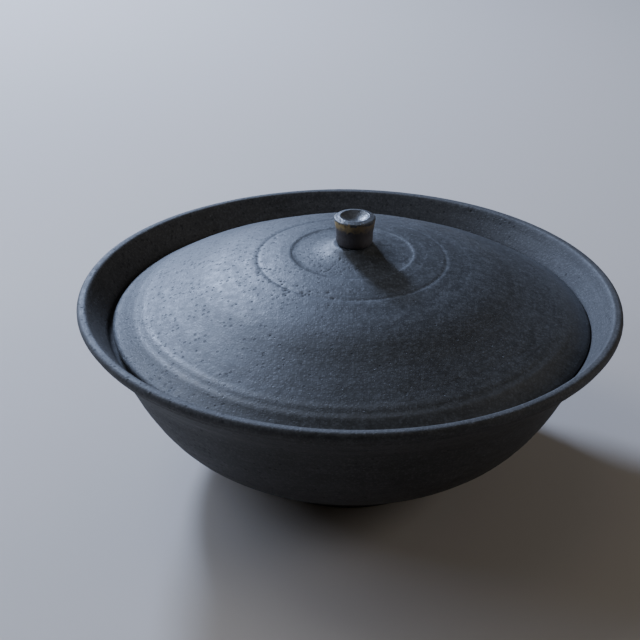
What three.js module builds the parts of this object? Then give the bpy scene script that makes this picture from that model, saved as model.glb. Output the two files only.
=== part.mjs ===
// A wide stoneware bowl for go stones, with a drop-in domed lid and a small tapered knob.
// Millimetres, +Z up. The origin is the centre of the foot ring's underside, and the axis
// of the bowl is the Z axis. Outlines run in the (radius, height) half plane. The lid lies
// a little to one side in its seat, and the hand-set knob a little further.

import * as THREE from "three";

// Driving dimensions.
const RIM_RADIUS = 120;
const RIM_HEIGHT = 82;
const LIP_ROUNDING = 2;
const FOOT_RADIUS = 51;
const FOOT_HEIGHT = 6.4;
const FOOT_RECESS_RADIUS = 43.5;
const FOOT_RECESS_DEPTH = 4.6;
const FLOOR_HEIGHT = 11;
const SEAT_HEIGHT = 67.4;
const SEAT_INNER_RADIUS = 101;
const LID_SHIFT = 1;
const LID_EDGE_RADIUS = 106.5;
const LID_EDGE_HEIGHT = 71.1;
const OUTER_RING_RADIUS = 41.6;
const INNER_RING_RADIUS = 26.4;
const BOSS_RADIUS = 8.8;
const BOSS_HEIGHT = 105.9;
const KNOB_SHIFT = 1.8;
const KNOB_TOP_HEIGHT = 119;
const KNOB_TOP_RADIUS = 9;
const KNOB_BASE_RADIUS = 7.4;
const KNOB_RIM_DROP = 0.9;
const KNOB_DISH_RADIUS = 6.4;
const KNOB_DISH_DEPTH = 2.8;
const JOINT_GAP = 0.3;

// Facets round the axis: a multiple of four puts a corner on each of the X and Y axes.
const BOWL_FACETS = 64;
const LID_FACETS = 64;
const KNOB_FACETS = 32;

// Unglazed charcoal stoneware, a little browner on the hand-rubbed knob.
const BOWL_CLAY = clay(0x34383a, 0.72);
const LID_CLAY = clay(0x3c4245, 0.66);
const KNOB_CLAY = clay(0x35322f, 0.6);

function clay(color, roughness) {
  return new THREE.MeshStandardMaterial({ color, roughness, metalness: 0 });
}

// A smooth run through a few (radius, height) stations, ends included.
function smoothRun(stations, steps) {
  const points = stations.map(([radius, height]) => new THREE.Vector2(radius, height));
  return new THREE.SplineCurve(points).getPoints(steps);
}

// Straight corners of an outline.
function corners(stations) {
  return stations.map(([radius, height]) => new THREE.Vector2(radius, height));
}

// Part of a circle in the half plane, between two angles in degrees.
function roundOver(radius, height, rounding, fromAngle, toAngle, steps) {
  const from = THREE.MathUtils.degToRad(fromAngle);
  const to = THREE.MathUtils.degToRad(toAngle);
  const clockwise = toAngle < fromAngle;
  const arc = new THREE.EllipseCurve(radius, height, rounding, rounding, from, to, clockwise);
  return arc.getPoints(steps);
}

// Turns a closed outline round the Z axis. The outline goes up the outside and down the inside.
function turned(name, outline, facets, material) {
  const geometry = new THREE.LatheGeometry(outline, facets);
  geometry.rotateX(Math.PI / 2);
  const mesh = new THREE.Mesh(geometry, material);
  mesh.name = name;
  return mesh;
}

// The bowl: foot ring, flared wall, rounded lip, the seat that holds the lid, and the floor.
function bowl() {
  const lipRadius = RIM_RADIUS - LIP_ROUNDING;
  const lipHeight = RIM_HEIGHT - LIP_ROUNDING;
  const footRing = corners([
    [0, FOOT_RECESS_DEPTH],
    [FOOT_RECESS_RADIUS, FOOT_RECESS_DEPTH],
    [FOOT_RECESS_RADIUS + 1.2, 0],
    [FOOT_RADIUS - 1, 0],
    [FOOT_RADIUS, 1],
    [FOOT_RADIUS + 1.6, FOOT_HEIGHT],
  ]);
  const outerWall = smoothRun(
    [
      [FOOT_RADIUS + 4, FOOT_HEIGHT + 1.2],
      [75, 19.3],
      [88, 31],
      [98, 46.4],
      [106, 63],
      [113, 71.5],
      [lipRadius + 0.8, lipHeight - 2.4],
    ],
    16,
  );
  const lip = roundOver(lipRadius, lipHeight, LIP_ROUNDING, -60, 150, 7);
  const innerFlare = smoothRun(
    [
      [lipRadius - 3.8, lipHeight - 1.6],
      [110.8, 74.6],
      [108, 71],
      [107, SEAT_HEIGHT + 1.2],
      [106, SEAT_HEIGHT],
    ],
    6,
  );
  const seatEdge = corners([
    [SEAT_INNER_RADIUS + 0.8, SEAT_HEIGHT],
    [SEAT_INNER_RADIUS, SEAT_HEIGHT - 0.8],
  ]);
  const innerWall = smoothRun(
    [
      [100.2, 61],
      [93.8, 48.5],
      [84.6, 34.6],
      [72.4, 23.4],
      [52, 14],
      [30, 11.7],
      [0, FLOOR_HEIGHT],
    ],
    14,
  );
  const outline = [...footRing, ...outerWall, ...lip, ...innerFlare, ...seatEdge, ...innerWall];
  return turned("bowl", outline, BOWL_FACETS, BOWL_CLAY);
}

// The lid: a shallow dome, hollow underneath, on a flat rim. A groove and a low step are turned
// round its middle, which sweeps up to the boss that the knob stands on.
function lid() {
  const rimUnderside = SEAT_HEIGHT + JOINT_GAP;
  const hollow = smoothRun(
    [
      [0, 98.4],
      [24, 96.6],
      [42, 93.6],
      [59, 89.4],
      [74, 83.1],
      [88, 76.9],
      [97, 72],
    ],
    12,
  );
  const rim = corners([
    [LID_EDGE_RADIUS - 4.3, rimUnderside],
    [LID_EDGE_RADIUS - 2.2, rimUnderside],
    [LID_EDGE_RADIUS - 0.6, LID_EDGE_HEIGHT - 2],
    [LID_EDGE_RADIUS, LID_EDGE_HEIGHT],
  ]);
  const shoulder = smoothRun(
    [
      [LID_EDGE_RADIUS - 0.8, LID_EDGE_HEIGHT + 1],
      [100, 75.2],
      [90, 80.6],
      [76, 87],
      [60, 94.3],
      [OUTER_RING_RADIUS + 1.2, 98.8],
    ],
    13,
  );
  const rings = corners([
    [OUTER_RING_RADIUS, 98.78],
    [OUTER_RING_RADIUS - 1.4, 99.2],
    [INNER_RING_RADIUS + 1.2, 101.5],
    [INNER_RING_RADIUS, 101.25],
  ]);
  const middle = smoothRun(
    [
      [22, 101.75],
      [17, 102.5],
      [12.6, 103.7],
      [10, 105],
      [BOSS_RADIUS, BOSS_HEIGHT],
    ],
    9,
  );
  const boss = corners([[0, BOSS_HEIGHT]]);
  const outline = [...hollow, ...rim, ...shoulder, ...rings, ...middle, ...boss];
  return turned("lid", outline, LID_FACETS, LID_CLAY);
}

// The knob: a small tapered stub with a dished top, luted to the boss on the lid.
function knob() {
  const base = BOSS_HEIGHT + JOINT_GAP;
  const edgeHeight = KNOB_TOP_HEIGHT - KNOB_RIM_DROP;
  const side = corners([
    [KNOB_BASE_RADIUS, base],
    [(KNOB_BASE_RADIUS + KNOB_TOP_RADIUS) / 2, (base + edgeHeight) / 2],
    [KNOB_TOP_RADIUS - 0.1, edgeHeight - 0.8],
    [KNOB_TOP_RADIUS, edgeHeight],
  ]);
  const dishedTop = smoothRun(
    [
      [KNOB_TOP_RADIUS - 0.4, edgeHeight + 0.35],
      [KNOB_DISH_RADIUS + 0.5, KNOB_TOP_HEIGHT - 0.1],
      [KNOB_DISH_RADIUS, KNOB_TOP_HEIGHT],
      [0.9 * KNOB_DISH_RADIUS, KNOB_TOP_HEIGHT - 0.2 * KNOB_DISH_DEPTH],
      [0.7 * KNOB_DISH_RADIUS, KNOB_TOP_HEIGHT - 0.52 * KNOB_DISH_DEPTH],
      [0.4 * KNOB_DISH_RADIUS, KNOB_TOP_HEIGHT - 0.85 * KNOB_DISH_DEPTH],
      [0, KNOB_TOP_HEIGHT - KNOB_DISH_DEPTH],
    ],
    14,
  );
  const middle = corners([[0, base]]);
  return turned("knob", [...middle, ...side, ...dishedTop], KNOB_FACETS, KNOB_CLAY);
}

// A piece set down to one side of the bowl's axis, along X.
function shifted(piece, distance) {
  piece.position.x = distance;
  return piece;
}

const stoneBowl = new THREE.Group();
stoneBowl.add(bowl(), shifted(lid(), LID_SHIFT), shifted(knob(), KNOB_SHIFT));

export default stoneBowl;
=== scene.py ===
"""A wide charcoal stoneware bowl for go stones, with a domed drop-in lid and a small knob.

Each CAD node is replaced by a fine mesh, turned round the node's own axis from the node's own
outline, with ridges, throwing lines, lumps of grog and pits raised or sunk in its surface.
Lengths are in millimetres until a mesh is made. An outline runs in the (radius, height) half
plane, from the lower end of the axis, round the outside, to the upper end of the axis.
"""

import itertools
import math

import bpy
import numpy as np
from mathutils import Matrix, Vector


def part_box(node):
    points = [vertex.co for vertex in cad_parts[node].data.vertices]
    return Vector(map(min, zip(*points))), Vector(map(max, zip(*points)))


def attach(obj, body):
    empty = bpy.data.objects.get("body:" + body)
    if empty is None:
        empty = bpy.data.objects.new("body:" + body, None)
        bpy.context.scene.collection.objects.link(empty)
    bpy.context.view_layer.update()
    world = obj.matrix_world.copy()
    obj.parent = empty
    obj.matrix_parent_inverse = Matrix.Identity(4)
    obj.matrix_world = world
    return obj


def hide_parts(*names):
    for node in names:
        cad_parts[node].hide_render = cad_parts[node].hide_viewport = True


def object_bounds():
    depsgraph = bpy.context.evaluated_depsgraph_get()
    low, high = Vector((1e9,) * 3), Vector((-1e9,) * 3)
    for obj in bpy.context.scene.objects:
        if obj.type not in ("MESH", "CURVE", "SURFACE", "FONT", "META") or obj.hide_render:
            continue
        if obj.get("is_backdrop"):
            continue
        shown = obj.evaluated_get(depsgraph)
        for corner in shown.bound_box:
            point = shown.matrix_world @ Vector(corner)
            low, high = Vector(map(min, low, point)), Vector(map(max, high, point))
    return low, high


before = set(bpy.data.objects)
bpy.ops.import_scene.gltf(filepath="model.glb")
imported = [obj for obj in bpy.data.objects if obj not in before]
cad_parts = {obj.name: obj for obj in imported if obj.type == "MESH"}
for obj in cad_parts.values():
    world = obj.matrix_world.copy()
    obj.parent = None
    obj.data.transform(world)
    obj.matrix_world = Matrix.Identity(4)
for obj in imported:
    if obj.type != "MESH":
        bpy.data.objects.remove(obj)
CAD_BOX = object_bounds()

MM = 0.001
RIM_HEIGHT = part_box("bowl")[1].z / MM
LID_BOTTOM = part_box("lid")[0].z / MM
KNOB_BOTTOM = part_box("knob")[0].z / MM
KNOB_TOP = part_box("knob")[1].z / MM

# Radii on the lid: the slope up to the boss, and the two turned rings.
BOSS_SLOPE = 18
INNER_RING = 26.3
OUTER_RING = 41.6
# Two low ridges near the lid's edge: the mean radius, and how much of each is left at +X.
LID_RIDGES = ((91.5, 0.3), (95.4, 0.8))
# The low swelling that the ridges stand on: where it starts, is highest and ends.
LID_SWELLING = (86, 97, 105)
# Where the knob's side begins, as radii between which its stain sets in.
KNOB_SIDE = (7.4, 8.0)

# Colours on every piece: rubbed edges, paler also as painted highlight, pale lumps of grog, and
# painted shade in the pits and between grains.
RUBBED_AND_HIGHLIGHT = (0.16, 0.165, 0.175, 1)
GROG = (0.30, 0.31, 0.32, 1)
HOLLOW_SHADE = (0.006, 0.006, 0.007, 1)
# Colours on the knob's side only.
BROWN = (0.074, 0.063, 0.062, 1)
OCHRE = (0.42, 0.30, 0.12, 1)


# ---------------------------------------------------------------- outlines

def axis_of(node):
    """Where the node's vertical axis stands along X."""
    low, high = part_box(node)
    return (low.x + high.x) / 2 / MM


def cad_outline(node):
    """The node's (radius, height) corners in the half plane y = 0, from axis to axis."""
    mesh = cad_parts[node].data
    axis = axis_of(node)
    tolerance = 0.01

    def corner(vertex):
        x, y, z = vertex.co / MM
        on_plane = abs(y) < tolerance and x - axis > -tolerance
        return (round(abs(x - axis), 2), round(z, 2)) if on_plane else None

    corners = [corner(vertex) for vertex in mesh.vertices]
    links = {}
    for edge in mesh.edges:
        a, b = (corners[i] for i in edge.vertices)
        if a and b and a != b:
            links.setdefault(a, set()).add(b)
            links.setdefault(b, set()).add(a)
    start = min(c for c in links if c[0] == 0)
    outline, before = [start], None
    while len(outline) == 1 or outline[-1][0] > 0:
        ahead = links[outline[-1]] - {before}
        before = outline[-1]
        outline.append(min(ahead))
    return np.array(outline)


def between(low, high, low_knot, high_knot, t):
    """The straight mix of two points at knot t."""
    return low + (high - low) * (t - low_knot) / (high_knot - low_knot)


def spline(points, spacing):
    """A centripetal spline through an outline, cut into steps of each corner's spacing."""
    steps_in_each_span = 24
    mirrored_start = points[1] * (-1, 1)
    mirrored_end = points[-2] * (-1, 1)
    p = np.vstack([mirrored_start, points, mirrored_end])
    knots = np.append(0, np.cumsum(np.sqrt(np.linalg.norm(np.diff(p, axis=0), axis=1))))
    fine = []
    for i in range(1, len(p) - 2):
        t = np.linspace(knots[i], knots[i + 1], steps_in_each_span, endpoint=False)[:, None]
        a = [between(p[j], p[j + 1], knots[j], knots[j + 1], t) for j in (i - 1, i, i + 1)]
        b = [between(a[j], a[j + 1], knots[i - 1 + j], knots[i + 1 + j], t) for j in (0, 1)]
        fine.append(between(b[0], b[1], knots[i], knots[i + 1], t))
    fine = np.vstack(fine + [points[-1:]])
    step = np.linalg.norm(np.diff(fine, axis=0), axis=1)
    span = (np.arange(len(step)) + 0.5) / steps_in_each_span
    step_wanted = np.interp(span, np.arange(len(points)), spacing)
    counted = np.append(0, np.cumsum(step / step_wanted))
    wanted = np.linspace(0, counted[-1], round(counted[-1]) + 1)
    return np.column_stack([np.interp(wanted, counted, fine[:, k]) for k in (0, 1)])


# ---------------------------------------------------------------- surfaces

def hill(distance, width):
    """A smooth bump of height 1, this wide to either side."""
    return np.exp(-((distance / width) ** 2))


def rise(value, low, high):
    """0 below low, 1 above high, and smooth between."""
    t = np.clip((value - low) / (high - low), 0, 1)
    return t * t * (3 - 2 * t)


def noise(points, size, seed):
    """Smooth noise from -1 to 1, with features about this many millimetres across."""
    side = 64
    table = np.random.default_rng(seed).uniform(-1, 1, (side, side, side))
    scaled = points / size
    cell = np.floor(scaled).astype(int)
    t = scaled - cell
    t = t * t * (3 - 2 * t)
    total = np.zeros(points.shape[:-1])
    for corner in itertools.product((0, 1), repeat=3):
        weight = np.prod(np.where(corner, t, 1 - t), axis=-1)
        index = (cell + corner) % side
        total += weight * table[index[..., 0], index[..., 1], index[..., 2]]
    return total


class Turned:
    """A grid of points, rings by turns, on a surface of revolution.

    Relief moves them along the surface's normal, and lift straight up.
    """

    def __init__(self, outline, turns, axis):
        self.radius, self.height = np.maximum(outline[:, 0], 0), outline[:, 1]
        self.axis = axis
        self.angle = np.arange(turns) * math.tau / turns
        along = np.gradient(outline, axis=0)
        along /= np.linalg.norm(along, axis=1)[:, None]
        self.normal = np.column_stack([along[:, 1], -along[:, 0]])
        steps = np.linalg.norm(np.diff(outline, axis=0), axis=1)
        self.run = np.append(0, np.cumsum(steps))
        self.relief = np.zeros((len(outline), turns))
        self.lift = np.zeros_like(self.relief)
        self.points = self.placed()
        self.marks = {"pit": np.zeros_like(self.relief), "wear_and_highlight": np.zeros_like(self.relief)}

    def placed(self):
        """The points, moved by relief and lift."""
        r = np.maximum(self.radius[:, None] + self.relief * self.normal[:, :1], 0)
        z = self.height[:, None] + self.relief * self.normal[:, 1:] + self.lift
        return np.stack([self.axis + r * np.cos(self.angle), r * np.sin(self.angle), z], axis=-1)

    def throwing_lines(self, depth, pitch, seed, where):
        """Fine lines left by fingers and a rib, wavering slowly round the piece."""
        waver = 0.6 * noise(self.points, 45, seed)
        lines = np.zeros_like(self.relief)
        for octave in (1.0, 0.53, 0.27):
            across = (self.run[:, None] + waver) / (pitch * octave)
            layer = np.full_like(across, 7 * octave)
            depths = np.full_like(across, 0.9)
            lines += octave * noise(np.stack([across, layer, depths], -1), 1.0, seed + 1)
        strength = 0.65 + 0.35 * noise(self.points, 30, seed + 2)
        self.relief += depth * lines * strength * where

    def scatter(self, count, width, height, seed, weight, mark=None, toward=None):
        """Small round lumps, or pits where the height is negative, over the weighted area.

        Width and height are each a smallest and a largest one. Toward is the middle and the
        spread of their directions, in degrees, if they don't lie all round.
        """
        random = np.random.default_rng(seed)
        share = np.gradient(self.run) * self.radius * weight
        rings = random.choice(len(share), count, p=share / share.sum())
        if toward:
            directions = random.normal(*toward, count)
        else:
            directions = random.uniform(0, 360, count)
        angles = np.radians(directions)
        widths = random.uniform(*width, count)
        heights = random.uniform(*height, count)
        for ring, angle, wide, high in zip(rings, angles, widths, heights):
            across = (self.angle - angle + math.pi) % math.tau - math.pi
            beside = across * self.radius[ring]
            rows = np.flatnonzero(np.abs(self.run - self.run[ring]) < 3 * wide)
            columns = np.flatnonzero(np.abs(beside) < 3 * wide)
            up = (self.run[rows] - self.run[ring])[:, None]
            stamp = hill(np.hypot(up, beside[columns][None, :]), wide)
            here = np.ix_(rows, columns)
            self.relief[here] += high * stamp
            if mark:
                self.marks[mark][here] = np.maximum(self.marks[mark][here], stamp)

    def wear(self, run, width, seed, strength=1.0):
        """A rubbed, paler line round the piece, strongest at the two sides, +X and -X, and faint at
        the front; partly real wear and partly painted highlight on the lit -X side.
        """
        patches = 0.7 + 0.3 * noise(self.points, 9, seed)
        strongest_at_sides = strength * np.abs(np.cos(self.angle)) ** 1.5
        self.marks["wear_and_highlight"] += hill(self.run - run, width)[:, None] * patches * strongest_at_sides

    def piece(self, name, material):
        """The mesh, in metres, with one vertex at each end of the axis."""
        grid = self.placed() * MM
        rings, turns = self.relief.shape
        inner = grid[1:-1].reshape(-1, 3)
        ends = np.array([grid[0].mean(0), grid[-1].mean(0)])
        index = np.arange((rings - 2) * turns).reshape(rings - 2, turns)
        turned = np.roll(index, -1, axis=1)
        quads = np.stack([index[:-1], turned[:-1], turned[1:], index[1:]], -1).reshape(-1, 4)
        first, last = len(inner), len(inner) + 1
        fans = [(first, b, a) for a, b in zip(index[0], turned[0])]
        fans += [(last, a, b) for a, b in zip(index[-1], turned[-1])]
        mesh = bpy.data.meshes.new(name)
        mesh.from_pydata(np.vstack([inner, ends]).tolist(), [], quads.tolist() + fans)
        mesh.shade_smooth()
        for mark, values in self.marks.items():
            attribute = mesh.attributes.new(mark, "FLOAT", "POINT")
            attribute.data.foreach_set("value", np.append(values[1:-1].ravel(), (0, 0)))
        mesh.materials.append(material)
        piece = bpy.data.objects.new(name, mesh)
        bpy.context.scene.collection.objects.link(piece)
        return piece


# ---------------------------------------------------------------- materials

class Shader:
    """A node material in the making. Texture places are in millimetres."""

    def __init__(self, name):
        self.material = bpy.data.materials.new(name)
        self.material.use_nodes = True
        self.tree = self.material.node_tree
        self.principled = self.tree.nodes["Principled BSDF"]
        where = self.node("ShaderNodeTexCoord").outputs["Object"]
        scaled = self.node("ShaderNodeVectorMath", operation="SCALE")
        self.feed(scaled.inputs[0], where)
        self.feed(scaled.inputs["Scale"], 1 / MM)
        self.place = scaled.outputs[0]
        split = self.node("ShaderNodeSeparateXYZ")
        self.feed(split.inputs[0], self.place)
        self.x, self.y, self.z = split.outputs

    def node(self, kind, **settings):
        """A new node of this kind, with these settings."""
        node = self.tree.nodes.new(kind)
        for key, value in settings.items():
            setattr(node, key, value)
        return node

    def feed(self, socket, value):
        """Links the socket to a node's output, or gives it a plain value."""
        if isinstance(value, bpy.types.NodeSocket):
            self.tree.links.new(value, socket)
        else:
            socket.default_value = value

    def math(self, operation, first, second=0.0):
        """One step of arithmetic."""
        node = self.node("ShaderNodeMath", operation=operation)
        self.feed(node.inputs[0], first)
        self.feed(node.inputs[1], second)
        return node.outputs[0]

    def noise(self, size, detail=2.0, rough=0.5):
        """Noise from 0 to 1, with features about this many millimetres across."""
        node = self.node("ShaderNodeTexNoise")
        self.feed(node.inputs["Vector"], self.place)
        self.feed(node.inputs["Scale"], 1 / size)
        self.feed(node.inputs["Detail"], detail)
        self.feed(node.inputs["Roughness"], rough)
        return node.outputs["Fac"]

    def radius_from(self, axis):
        """The distance from a vertical axis that stands at this place along X."""
        beside = self.math("SUBTRACT", self.x, axis)
        square = self.math("ADD", self.math("POWER", beside, 2.0), self.math("POWER", self.y, 2.0))
        return self.math("SQRT", square)

    def streaks(self, pitch):
        """Noise drawn out round the Z axis, this many millimetres from line to line."""
        radius = self.radius_from(0.0)
        around = self.node("ShaderNodeCombineXYZ")
        self.feed(around.inputs[0], self.math("DIVIDE", self.x, self.math("ADD", radius, 1.0)))
        self.feed(around.inputs[1], self.math("DIVIDE", self.y, self.math("ADD", radius, 1.0)))
        self.feed(around.inputs[2], self.math("DIVIDE", self.z, pitch))
        node = self.node("ShaderNodeTexNoise", noise_dimensions="4D")
        self.feed(node.inputs["W"], self.math("DIVIDE", radius, pitch))
        self.feed(node.inputs["Vector"], around.outputs[0])
        self.feed(node.inputs["Scale"], 1.0)
        self.feed(node.inputs["Detail"], 3.0)
        self.feed(node.inputs["Roughness"], 0.6)
        return node.outputs["Fac"]

    def grains(self, spacing, share, size, crowding):
        """1 in small round grains, of which a share of the cells hold one, more where crowded."""
        cells = self.node("ShaderNodeTexVoronoi")
        self.feed(cells.inputs["Vector"], self.place)
        self.feed(cells.inputs["Scale"], 1 / spacing)
        chance = self.node("ShaderNodeSeparateColor")
        self.feed(chance.inputs[0], cells.outputs["Color"])
        likely = self.math("ADD", chance.outputs[0], crowding)
        reach = self.spread(likely, 1 - share, 1 - share / 2, 0.0, size / spacing)
        inside = self.math("SUBTRACT", reach, cells.outputs["Distance"])
        return self.spread(inside, 0.0, 0.05)

    def sand(self, size):
        """Close-packed round grains of this many millimetres, some standing higher than others."""
        cells = self.node("ShaderNodeTexVoronoi")
        self.feed(cells.inputs["Vector"], self.place)
        self.feed(cells.inputs["Scale"], 1 / size)
        chance = self.node("ShaderNodeSeparateColor")
        self.feed(chance.inputs[0], cells.outputs["Color"])
        dome = self.spread(cells.outputs["Distance"], 0.1, 0.75, 1.0, 0.0)
        return self.math("MULTIPLY", dome, chance.outputs[0])

    def attribute(self, name):
        """One of the marks on the piece's mesh."""
        return self.node("ShaderNodeAttribute", attribute_name=name).outputs["Fac"]

    def spread(self, value, low, high, to_low=0.0, to_high=1.0):
        """Smoothly from one number to another, as the value goes from low to high."""
        node = self.node("ShaderNodeMapRange", interpolation_type="SMOOTHSTEP")
        for socket, number in zip(node.inputs, (value, low, high, to_low, to_high)):
            self.feed(socket, number)
        return node.outputs[0]

    def mix(self, share, first, second):
        """The first colour, with this share of the second."""
        node = self.node("ShaderNodeMix", data_type="RGBA")
        self.feed(node.inputs["Factor"], share)
        first_socket, second_socket = (s for s in node.inputs if s.type == "RGBA")
        self.feed(first_socket, first)
        self.feed(second_socket, second)
        return next(s for s in node.outputs if s.type == "RGBA")

    def bump(self, height, distance, strength, under=None):
        """A normal for heights of up to this many millimetres, on top of another normal."""
        node = self.node("ShaderNodeBump")
        self.feed(node.inputs["Height"], height)
        self.feed(node.inputs["Distance"], distance * MM)
        self.feed(node.inputs["Strength"], strength)
        if under:
            self.feed(node.inputs["Normal"], under)
        return node.outputs["Normal"]


def stoneware(name, dark, middle, light, roughness, grit, stain=None):
    """Unglazed charcoal clay: clouded, streaked round the axis, gritty, pitted and rubbed, with
    painted shade in its pores and pits and painted highlight in its rubbed marks.

    Grit scales the height of the grain and the paleness of the specks. A stain takes the
    shader and the clay's colour, and gives the colour with the stain on it.
    """
    s = Shader(name)
    clouds = s.noise(size=26.0, detail=4.0, rough=0.6)
    mottle = s.noise(size=3.4, detail=3.0, rough=0.6)
    grain = s.math("ADD", s.sand(0.8), s.sand(1.5))
    streaks = s.streaks(pitch=1.8)
    # The pits, painted dark as shade, crowd together in places, and toward the back left, the lit
    # side where that shade shows.
    clusters = s.spread(s.noise(size=19.0), 0.35, 0.65, -0.08, 0.08)
    from_back_left = s.math("SUBTRACT", s.x, s.math("MULTIPLY", s.y, 0.5))
    crowding = s.math("ADD", clusters, s.spread(from_back_left, -60.0, 50.0, 0.16, -0.20))
    pits = s.grains(spacing=2.1, share=0.34, size=0.72, crowding=crowding)
    specks = s.grains(spacing=3.1, share=0.03, size=0.5, crowding=0.0)
    large_pits = s.spread(s.attribute("pit"), 0.45, 0.85)
    holes = s.math("MAXIMUM", large_pits, s.math("MULTIPLY", pits, 0.4))

    tone = s.mix(s.spread(clouds, 0.36, 0.66), dark, middle)
    tone = s.mix(s.spread(mottle, 0.42, 0.75, 0.0, 0.5), tone, light)
    tone = s.mix(s.spread(streaks, 0.35, 0.7, 0.0, 0.3), tone, light)
    # The grain's tops are painted paler and its lows darker: painted light and shade on the grain,
    # with some dust in the pores.
    tone = s.mix(s.spread(grain, 0.4, 1.2, 0.0, 0.6), tone, light)
    tone = s.mix(s.spread(grain, 0.05, 0.4, 0.35, 0.0), tone, HOLLOW_SHADE)
    if stain:
        tone = stain(s, tone)
    # Rubbed clay is paler, and so is painted highlight where the wear marks are made strong on the
    # lit side.
    tone = s.mix(s.math("MULTIPLY", s.attribute("wear_and_highlight"), 0.15), tone, RUBBED_AND_HIGHLIGHT)
    tone = s.mix(s.math("MULTIPLY", specks, 0.3 * grit), tone, GROG)
    # Pits are painted dark, as shade in their hollows.
    tone = s.mix(s.math("MULTIPLY", holes, 0.85), tone, HOLLOW_SHADE)
    s.feed(s.principled.inputs["Base Color"], tone)
    uneven = s.spread(mottle, 0.3, 0.7, roughness - 0.05, roughness + 0.05)
    rubbed_smooth = s.math("MULTIPLY", s.attribute("wear_and_highlight"), 0.08)
    dull_in_holes = s.math("ADD", uneven, s.math("MULTIPLY", holes, 0.3))
    s.feed(s.principled.inputs["Roughness"], s.math("SUBTRACT", dull_in_holes, rubbed_smooth))
    s.principled.inputs["IOR"].default_value = 1.5

    relief = s.bump(grain, 0.065 * grit, 1.0)
    relief = s.bump(streaks, 0.05, 0.5, relief)
    relief = s.bump(s.math("SUBTRACT", 1.0, pits), 0.2, 0.7, relief)
    s.feed(s.principled.inputs["Normal"], relief)
    return s.material


def knob_stain(s, tone):
    """A dark brown side, and under the rim an ochre band that is heavier toward -X."""
    axis = axis_of("knob")
    waver = s.noise(size=2.0, detail=3.0, rough=0.7)
    ragged = s.math("ADD", s.z, s.spread(waver, 0.3, 0.7, -0.9, 0.9))
    side = s.spread(ragged, KNOB_TOP - 2.0, KNOB_TOP - 1.0, 1.0, 0.0)
    side = s.math("MULTIPLY", side, s.spread(s.radius_from(axis), *KNOB_SIDE))
    tone = s.mix(s.math("MULTIPLY", side, 0.9), tone, BROWN)
    above = s.spread(ragged, KNOB_TOP - 5.6, KNOB_TOP - 2.4)
    heavier = s.spread(s.x, axis - 7, axis + 7, 1.0, 0.3)
    band = s.math("MULTIPLY", s.math("MULTIPLY", side, above), heavier)
    return s.mix(s.math("MULTIPLY", band, 0.9), tone, OCHRE)


# ---------------------------------------------------------------- pieces

def bowl_piece(material):
    """The bowl, with its mesh finest at the lip and coarse under the lid and the foot."""
    corners = cad_outline("bowl")
    radius, height = corners.T
    inside = np.arange(len(corners)) > np.argmax(height)
    spacing = np.where(height > RIM_HEIGHT - 4, 0.5, 1.05)
    spacing = np.where(inside & (height < LID_BOTTOM), 2.6, spacing)
    spacing = np.where(radius < 50, 3.0, spacing)
    outline = spline(corners, spacing)
    outline[:, 1] = np.maximum(outline[:, 1], 0)
    turned = Turned(outline, turns=448, axis=axis_of("bowl"))

    crest = np.argmax(turned.height)
    outside = np.arange(len(turned.run)) <= crest
    wall = np.where(outside, rise(turned.height, 1, 12), 0.4)
    near_seat = hill(turned.height - LID_BOTTOM, 6) * ~outside
    wall = (wall * (1 - 0.8 * near_seat))[:, None]
    turned.throwing_lines(depth=0.11, pitch=3.4, seed=11, where=wall)
    turned.relief += 0.25 * noise(turned.points, 60, 14) * wall
    turned.relief += 0.02 * noise(turned.points, 2.4, 15) * wall
    past_foot = rise(turned.radius, 52, 60)
    turned.scatter(900, (0.6, 1.0), (0.03, 0.09), seed=16, weight=past_foot)
    # The pits carry the pit mark, which the material paints dark as shade.
    turned.scatter(70, (0.6, 0.9), (-0.4, -0.2), seed=17, weight=past_foot, mark="pit")
    # The lip's paler line is partly painted highlight: pale at the lit -X side and faint at the
    # front.
    turned.wear(turned.run[crest], width=1.5, seed=18, strength=0.6)
    # The lip swells a little, and it stands higher toward -Y.
    near_lip = rise(turned.height, RIM_HEIGHT - 10, RIM_HEIGHT)[:, None]
    turned.relief += 0.6 * near_lip * np.abs(turned.normal[:, :1])
    turned.lift = 1.7 * near_lip * (1 - np.sin(turned.angle)) / 2
    return turned.piece("stoneware_bowl", material)


def lid_piece(material):
    """The lid, with its mesh finest at the two rings and coarse underneath."""
    corners = cad_outline("lid")
    radius = corners[:, 0]
    underneath = np.arange(len(corners)) < np.argmax(radius)
    near_rings = (np.abs(radius - INNER_RING) < 2) | (np.abs(radius - OUTER_RING) < 2)
    spacing = np.where(near_rings, 0.5, 1.0)
    spacing = np.where(underneath, 4.0, spacing)
    turned = Turned(spline(corners, spacing), turns=608, axis=axis_of("lid"))

    edge = np.argmax(turned.radius)
    face = np.arange(len(turned.run)) >= edge
    face = (face * rise(turned.radius, 9, 14))[:, None]
    wavering = turned.radius[:, None] + 0.4 * noise(turned.points, 50, 21)
    turned.throwing_lines(depth=0.045, pitch=4.2, seed=22, where=0.25 + 0.75 * face)
    lid_ridges(turned, wavering, face)
    start, top, end = LID_SWELLING
    turned.relief += 0.4 * rise(wavering, start, top) * (1 - rise(wavering, top, end)) * face
    turned.relief += 0.05 * noise(turned.points, 7, 23) * face
    # The paler band inside the lid's edge is partly painted highlight on the lit -X side.
    turned.wear(turned.run[edge] + 6, width=6, seed=24, strength=1.2)
    turned.relief += 0.08 * hill(wavering - INNER_RING, 1.0) * face
    turned.relief -= 0.08 * hill(wavering - OUTER_RING - 0.8, 1.4) * face
    level_edge = (1 - rise(turned.radius, 98, 106))[:, None]
    turned.relief += 0.08 * noise(turned.points, 55, 25) * face * level_edge
    turned.relief += 0.02 * noise(turned.points, 2.6, 26)
    lid_grit(turned, face[:, 0])
    return turned.piece("stoneware_lid", material)


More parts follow.
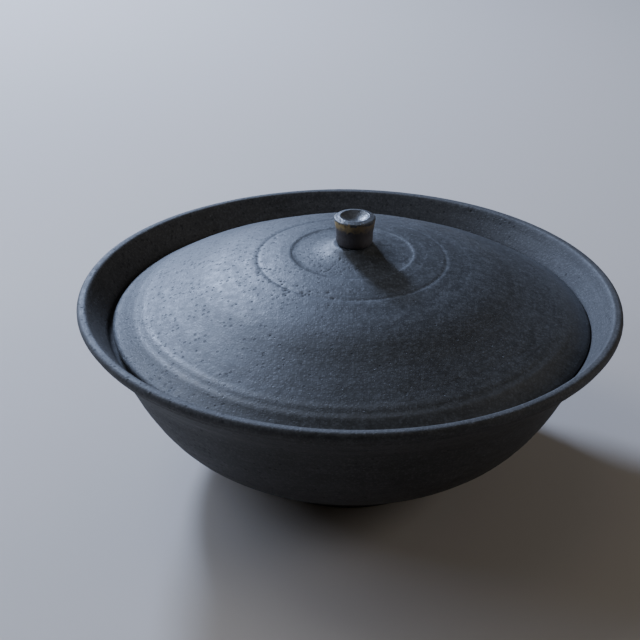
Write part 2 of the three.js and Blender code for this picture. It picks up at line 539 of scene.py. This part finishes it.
def lid_ridges(turned, radius, face):
    """The two throwing ridges near the lid's edge, highest toward -Y, pale partly as rubbed clay
    and partly as painted highlight, most toward -Y and -X.
    """
    offset = 1.6 * np.cos(turned.angle - math.radians(-100))
    left_side = rise(-np.cos(turned.angle), -1, 1)
    front = rise(-np.sin(turned.angle), 0, 1)
    wear_and_highlight = 0.45 + 1.5 * front
    height = 0.04 + 0.18 * front
    for ridge, faded in LID_RIDGES:
        strength = (faded + (1 - faded) * left_side) * face
        turned.marks["wear_and_highlight"] += wear_and_highlight * hill(radius - offset - ridge, 1.1) * strength
        turned.relief += height * hill(radius - offset - ridge - 0.9, 1.3) * strength


def lid_grit(turned, weight):
    """Lumps all over the lid's face, and pits toward -X, by the outer ring and by the boss."""
    turned.scatter(1300, (0.6, 0.9), (0.03, 0.08), seed=27, weight=weight)
    near_ring = weight * hill(turned.radius - OUTER_RING, 3)
    near_boss = weight * hill(turned.radius - BOSS_SLOPE, 6)
    # The pits carry the pit mark, which the material paints dark as shade; most lie toward -X, on
    # the lit side.
    for count, width, height, seed, where, toward in (
        (110, (0.5, 0.9), (-0.14, -0.06), 28, weight, (195, 38)),
        (30, (0.7, 1.0), (-0.2, -0.1), 29, near_ring, (215, 25)),
        (75, (0.45, 0.6), (-0.10, -0.05), 30, near_boss, (235, 35)),
    ):
        turned.scatter(count, width, height, seed, where, "pit", toward)


def knob_piece(material):
    """The knob, a little uneven but flat underneath, and rubbed at its rim and in its dish."""
    corners = cad_outline("knob")
    spacing = np.full(len(corners), 0.25)
    turned = Turned(spline(corners, spacing), turns=192, axis=axis_of("knob"))
    lumpy = rise(turned.height, KNOB_BOTTOM, KNOB_BOTTOM + 1.5)[:, None]
    turned.relief += 0.16 * noise(turned.points, 5, 31) * lumpy
    turned.relief += 0.04 * noise(turned.points, 1.4, 32)
    everywhere = np.ones(len(turned.run))
    turned.scatter(60, (0.35, 0.6), (0.03, 0.08), seed=33, weight=everywhere)
    crest = np.argmax(turned.height)
    # The rim's paler line is partly painted highlight, strongest at the sides.
    turned.wear(turned.run[crest], width=1.0, seed=34)
    in_dish = np.arange(len(turned.run)) > crest
    turned.marks["wear_and_highlight"] += 1.2 * in_dish[:, None]
    return turned.piece("stoneware_knob", material)


# ---------------------------------------------------------------- stage

def floor():
    """A plain pale floor, which isn't part of the object."""
    mesh = bpy.data.meshes.new("floor")
    half = 4.0
    corners = [(-half, -half, 0), (half, -half, 0), (half, half, 0), (-half, half, 0)]
    mesh.from_pydata(corners, [], [(0, 1, 2, 3)])
    material = bpy.data.materials.new("pale_floor")
    material.use_nodes = True
    principled = material.node_tree.nodes["Principled BSDF"]
    principled.inputs["Base Color"].default_value = (0.50, 0.45, 0.40, 1)
    principled.inputs["Roughness"].default_value = 0.9
    mesh.materials.append(material)
    plane = bpy.data.objects.new("floor", mesh)
    bpy.context.scene.collection.objects.link(plane)
    plane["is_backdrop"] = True


def area_light(name, azimuth, elevation, distance, size, power, colour):
    """A soft round panel that faces the middle of the bowl's rim.

    Azimuth and elevation are in degrees from +X and up, distance and size in metres, and
    power in watts.
    """
    turn, lift = math.radians(azimuth), math.radians(elevation)
    target = Vector((0, 0, RIM_HEIGHT * MM))
    way = Vector((math.cos(turn) * math.cos(lift), math.sin(turn) * math.cos(lift), math.sin(lift)))
    light = bpy.data.lights.new(name, "AREA")
    light.shape = "DISK"
    light.size = size
    light.energy = power
    light.color = colour
    panel = bpy.data.objects.new(name, light)
    panel.location = target + way * distance
    panel.rotation_euler = way.to_track_quat("Z", "Y").to_euler()
    bpy.context.scene.collection.objects.link(panel)


def lights():
    """Cool soft panels at the back left, and dim warm fill. The columns are as in area_light."""
    area_light("window", 120, 30, 1.5, 0.24, 30.5, (0.69, 0.88, 1.31))
    area_light("sky", 150, 50, 1.5, 0.7, 5.6, (0.82, 0.90, 1.05))
    area_light("near_pane", 180, 30, 0.5, 0.3, 1.0, (0.75, 0.89, 1.20))
    area_light("bounce", 0, 25, 1.5, 0.7, 3.8, (1.0, 0.97, 0.96))
    area_light("ceiling", 90, 85, 1.5, 0.9, 0.7, (1.0, 0.96, 0.86))
    world = bpy.data.worlds.new("room")
    world.use_nodes = True
    background = world.node_tree.nodes["Background"]
    background.inputs["Color"].default_value = (1.0, 0.96, 0.86, 1)
    background.inputs["Strength"].default_value = 0.055
    bpy.context.scene.world = world


def camera():
    """Looks down 27 degrees at the middle of the rim, from 600 mm, turned a little aside."""
    elevation = math.radians(26.97)
    distance = 597.6
    yaw, pitch, roll = (math.radians(a) for a in (1.228, -1.075, 1.155))
    aim = Vector((0, 0, RIM_HEIGHT - 2))
    back = Vector((0, -math.cos(elevation), math.sin(elevation)))
    look = back.to_track_quat("Z", "Y").to_matrix().to_4x4()
    turn = Matrix.Rotation(yaw, 4, "Y") @ Matrix.Rotation(pitch, 4, "X")
    turn = turn @ Matrix.Rotation(roll, 4, "Z")
    lens = bpy.data.cameras.new("camera")
    lens.lens = 50
    lens.sensor_width = 24
    lens.clip_start = 0.01
    eye = bpy.data.objects.new("camera", lens)
    eye.matrix_world = Matrix.Translation((aim + back * distance) * MM) @ look @ turn
    bpy.context.scene.collection.objects.link(eye)
    bpy.context.scene.camera = eye


def main():
    camera()
    floor()
    lights()
    bowl_clay = stoneware(
        "bowl_stoneware",
        dark=(0.024, 0.023, 0.023, 1),
        middle=(0.037, 0.036, 0.036, 1),
        light=(0.070, 0.069, 0.070, 1),
        roughness=0.70,
        grit=0.8,
    )
    lid_clay = stoneware(
        "lid_stoneware",
        dark=(0.029, 0.031, 0.034, 1),
        middle=(0.044, 0.047, 0.052, 1),
        light=(0.084, 0.090, 0.099, 1),
        roughness=0.56,
        grit=0.6,
    )
    knob_clay = stoneware(
        "knob_stoneware",
        dark=(0.051, 0.054, 0.060, 1),
        middle=(0.073, 0.077, 0.085, 1),
        light=(0.121, 0.129, 0.141, 1),
        roughness=0.50,
        grit=0.8,
        stain=knob_stain,
    )
    for piece, node, body, slot in (
        (bowl_piece(bowl_clay), "bowl", "bowl_body", "bowl_stoneware"),
        (lid_piece(lid_clay), "lid", "lid_body", "lid_stoneware"),
        (knob_piece(knob_clay), "knob", "lid_body", "knob_stoneware"),
    ):
        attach(piece, body)
        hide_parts(node)


main()
sizes = {"cad": CAD_BOX, "visual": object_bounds()}
sizes = {name: [list(corner) for corner in box] for name, box in sizes.items()}
